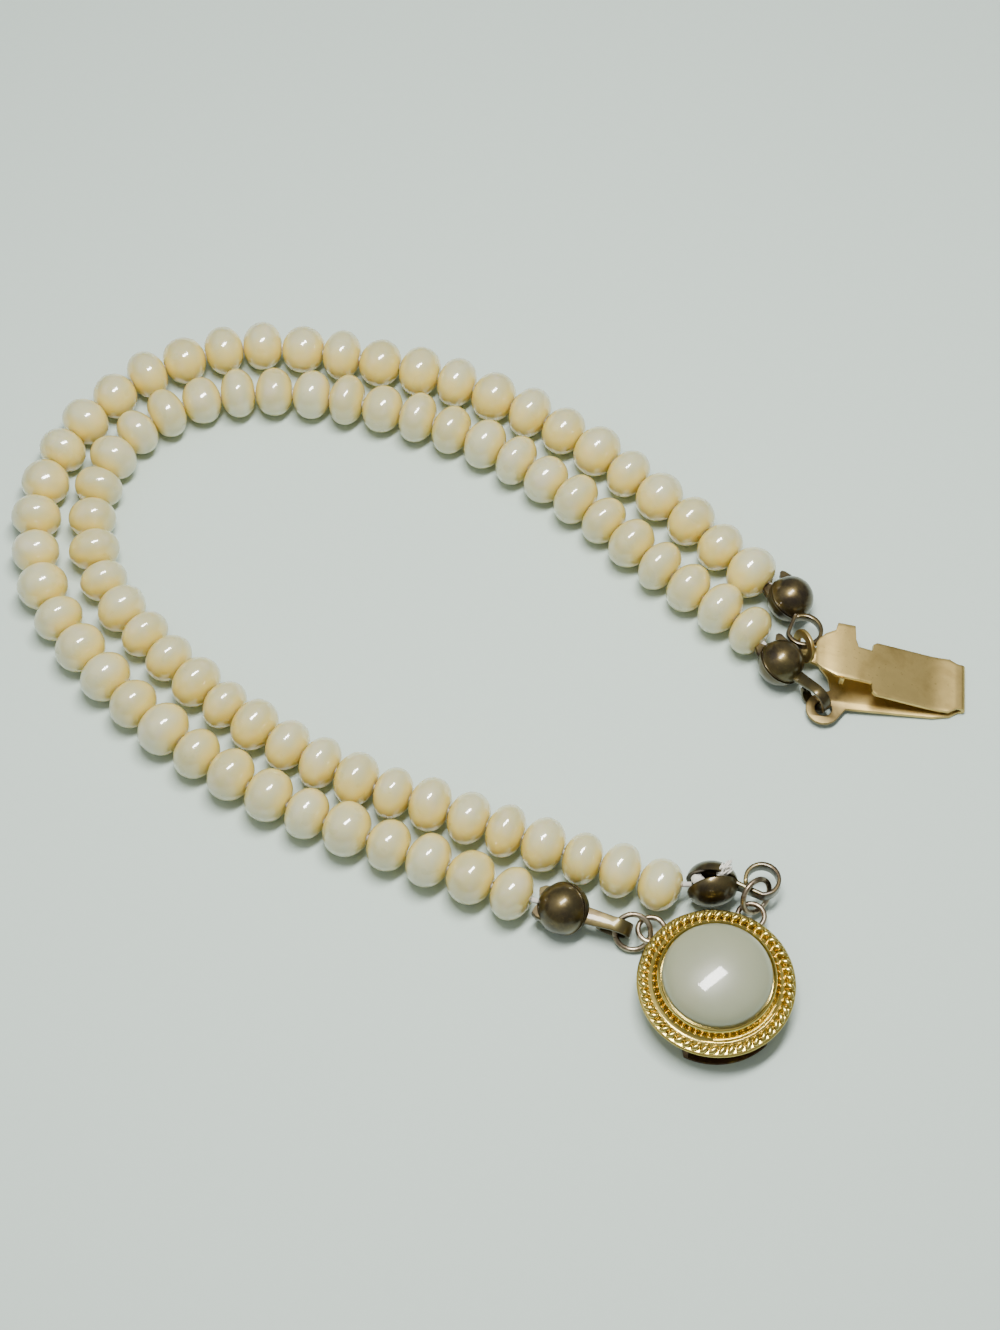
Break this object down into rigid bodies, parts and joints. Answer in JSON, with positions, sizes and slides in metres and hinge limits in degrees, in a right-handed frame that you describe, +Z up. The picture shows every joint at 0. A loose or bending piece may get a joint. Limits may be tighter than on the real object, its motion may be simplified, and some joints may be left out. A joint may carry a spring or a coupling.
{
  "type": "pearl bracelet",
  "caption": "Multi-strand pearl bracelet lying open in a U, with a round cabochon box clasp at one end and its sprung folded tongue at the other.",
  "frame": {"origin": "under the middle of the outline, on the surface the bracelet lies on", "axes": "+X along the open U towards its two ends, +Z up"},
  "size_m": [0.0924, 0.054, 0.0069],
  "materials": {
    "pearl": "lustrous cream-white nacre",
    "cabochon": "glossy grey-cream dome",
    "clasp_gold": "bright yellow gold plate",
    "tongue_gold": "pale champagne gold, satin",
    "tip_bronze": "dark tarnished bronze brown",
    "ring_silvered": "worn silvered wire",
    "thread": "cream cotton"
  },
  "bodies": {
    "strands_and_clasp": {"outer_strand_1": "pearl", "outer_strand_2": "pearl", "outer_strand_3": "pearl", "outer_strand_4": "pearl", "inner_strand_1": "pearl", "inner_strand_2": "pearl", "inner_strand_3": "pearl", "inner_strand_4": "pearl", "bead_tip_outer_tongue_end": "tip_bronze", "bead_tip_inner_tongue_end": "tip_bronze", "bead_tip_outer_box_end": "tip_bronze", "bead_tip_inner_box_end": "tip_bronze", "thread_knot": "thread", "jump_ring_outer": "ring_silvered", "jump_ring_inner": "ring_silvered", "clasp_box": "clasp_gold", "cabochon": "cabochon", "tongue_plate": "tongue_gold"},
    "spring_leaf": {"tongue_leaf": "tongue_gold"}
  },
  "joints": [
    {"name": "leaf_press", "type": "hinge", "parent": "strands_and_clasp", "child": "spring_leaf", "pos_m": [0.04352, 0.02008, 0.00054], "axis": [0.4493, -0.8934, 0], "range_deg": [0, 3.5], "stiffness_Nm_per_rad": 0.4}
  ]
}
